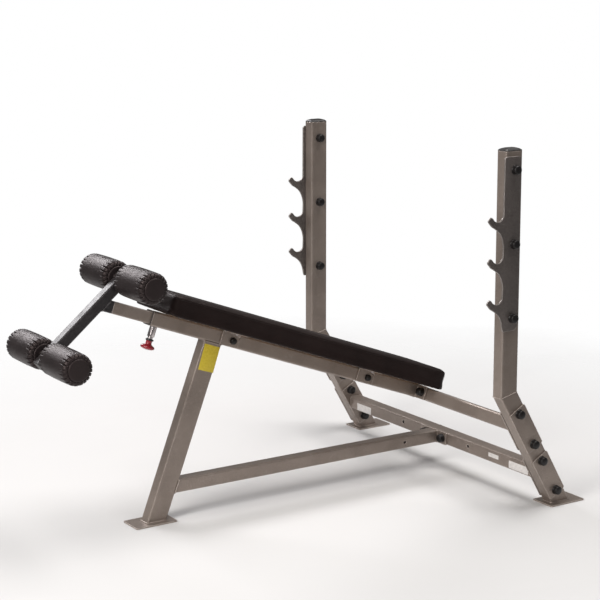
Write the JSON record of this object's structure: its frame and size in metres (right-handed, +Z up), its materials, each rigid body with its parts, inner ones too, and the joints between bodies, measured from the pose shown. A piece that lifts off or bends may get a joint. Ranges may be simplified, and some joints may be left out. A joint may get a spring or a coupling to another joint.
{
  "type": "decline weight bench",
  "caption": "Decline weight bench: one long pad on a sloping rail, a telescoping leg hold-down with foam rollers and a pull pin, and two uprights with stepped barbell hooks.",
  "frame": {"origin": "on the floor, at the middle of the footprint box", "axes": "+X along the bench toward the barbell rack, +Y across the bench to its right side as the user lies on it, +Z up"},
  "size_m": [1.9139, 1.3412, 1.343],
  "materials": {
    "frame_paint": "warm grey metallic powder coat, satin",
    "hook_paint": "warm grey metallic powder coat, satin",
    "black_paint": "black powder coat, satin",
    "pad_vinyl": "black upholstery vinyl over foam, satin",
    "roller_vinyl": "black vinyl over foam, soft sheen",
    "plywood": "raw plywood",
    "bolt_black": "black moulded cover",
    "black_plastic": "black moulded plastic",
    "plated_steel": "bright zinc plate",
    "red_plastic": "gloss red moulded knob"
  },
  "bodies": {
    "frame": {"backing_plate_lower_left": "frame_paint", "backing_plate_lower_right": "frame_paint", "backing_plate_upper_left": "frame_paint", "backing_plate_upper_right": "frame_paint", "base_bolt_left": "bolt_black", "base_bolt_right": "bolt_black", "base_tube": "frame_paint", "bracket_bolt_front": "bolt_black", "bracket_bolt_rear": "bolt_black", "front_leg": "frame_paint", "hook_bolt_bottom_left": "bolt_black", "hook_bolt_bottom_right": "bolt_black", "hook_bolt_middle_left": "bolt_black", "hook_bolt_middle_right": "bolt_black", "hook_bolt_top_left": "bolt_black", "hook_bolt_top_right": "bolt_black", "hook_plate_left": "hook_paint", "hook_plate_right": "hook_paint", "leg_bolt_lower_a_left": "bolt_black", "leg_bolt_lower_a_right": "bolt_black", "leg_bolt_lower_b_left": "bolt_black", "leg_bolt_lower_b_right": "bolt_black", "leg_bolt_upper_a_left": "bolt_black", "leg_bolt_upper_a_right": "bolt_black", "leg_bolt_upper_b_left": "bolt_black", "leg_bolt_upper_b_right": "bolt_black", "lower_cross_member": "frame_paint", "main_rail": "frame_paint", "pad_board": "plywood", "pad_bracket_front": "frame_paint", "pad_bracket_rear": "frame_paint", "pad_cushion": "pad_vinyl", "pad_screw_front_left": "plated_steel", "pad_screw_front_right": "plated_steel", "pad_screw_rear_left": "plated_steel", "pad_screw_rear_right": "plated_steel", "pin_housing": "plated_steel", "pin_spring": "plated_steel", "rail_bolt_left": "bolt_black", "rail_bolt_right": "bolt_black", "rail_sleeve": "black_plastic", "upper_cross_member": "frame_paint", "upright_cap_left": "black_plastic", "upright_cap_right": "black_plastic", "upright_left": "frame_paint", "upright_right": "frame_paint"},
    "hold_down": {"hold_down_tube": "frame_paint", "hold_down_arm": "black_paint", "arm_cap_upper": "black_plastic", "arm_cap_lower": "black_plastic", "axle_upper": "plated_steel", "axle_lower": "plated_steel"},
    "pull_pin": {"pull_pin": "plated_steel", "pin_collar": "black_plastic", "pin_knob": "red_plastic"},
    "roller_upper_left": {"roller_upper_left": "roller_vinyl"},
    "roller_upper_right": {"roller_upper_right": "roller_vinyl"},
    "roller_lower_left": {"roller_lower_left": "roller_vinyl"},
    "roller_lower_right": {"roller_lower_right": "roller_vinyl"}
  },
  "joints": [
    {"name": "hold_down_slide", "type": "slide", "parent": "frame", "child": "hold_down", "axis": [-0.9385, 0, 0.3453], "range_m": [0, 0.15]},
    {"name": "pull_pin_slide", "type": "slide", "parent": "frame", "child": "pull_pin", "axis": [-0.3453, 0, -0.9385], "range_m": [-0.006, 0.01], "stiffness_N_per_m": 600, "springref_m": -0.01, "deforming": ["pin_spring"]},
    {"name": "roller_upper_left_spin", "type": "hinge", "parent": "hold_down", "child": "roller_upper_left", "pos_m": [-0.61334, 0, 0.90355], "axis": [0, 1, 0], "continuous": true},
    {"name": "roller_upper_right_spin", "type": "hinge", "parent": "hold_down", "child": "roller_upper_right", "pos_m": [-0.61334, 0, 0.90355], "axis": [0, 1, 0], "continuous": true},
    {"name": "roller_lower_left_spin", "type": "hinge", "parent": "hold_down", "child": "roller_lower_left", "pos_m": [-0.90219, 0, 0.66283], "axis": [0, 1, 0], "continuous": true},
    {"name": "roller_lower_right_spin", "type": "hinge", "parent": "hold_down", "child": "roller_lower_right", "pos_m": [-0.90219, 0, 0.66283], "axis": [0, 1, 0], "continuous": true}
  ]
}
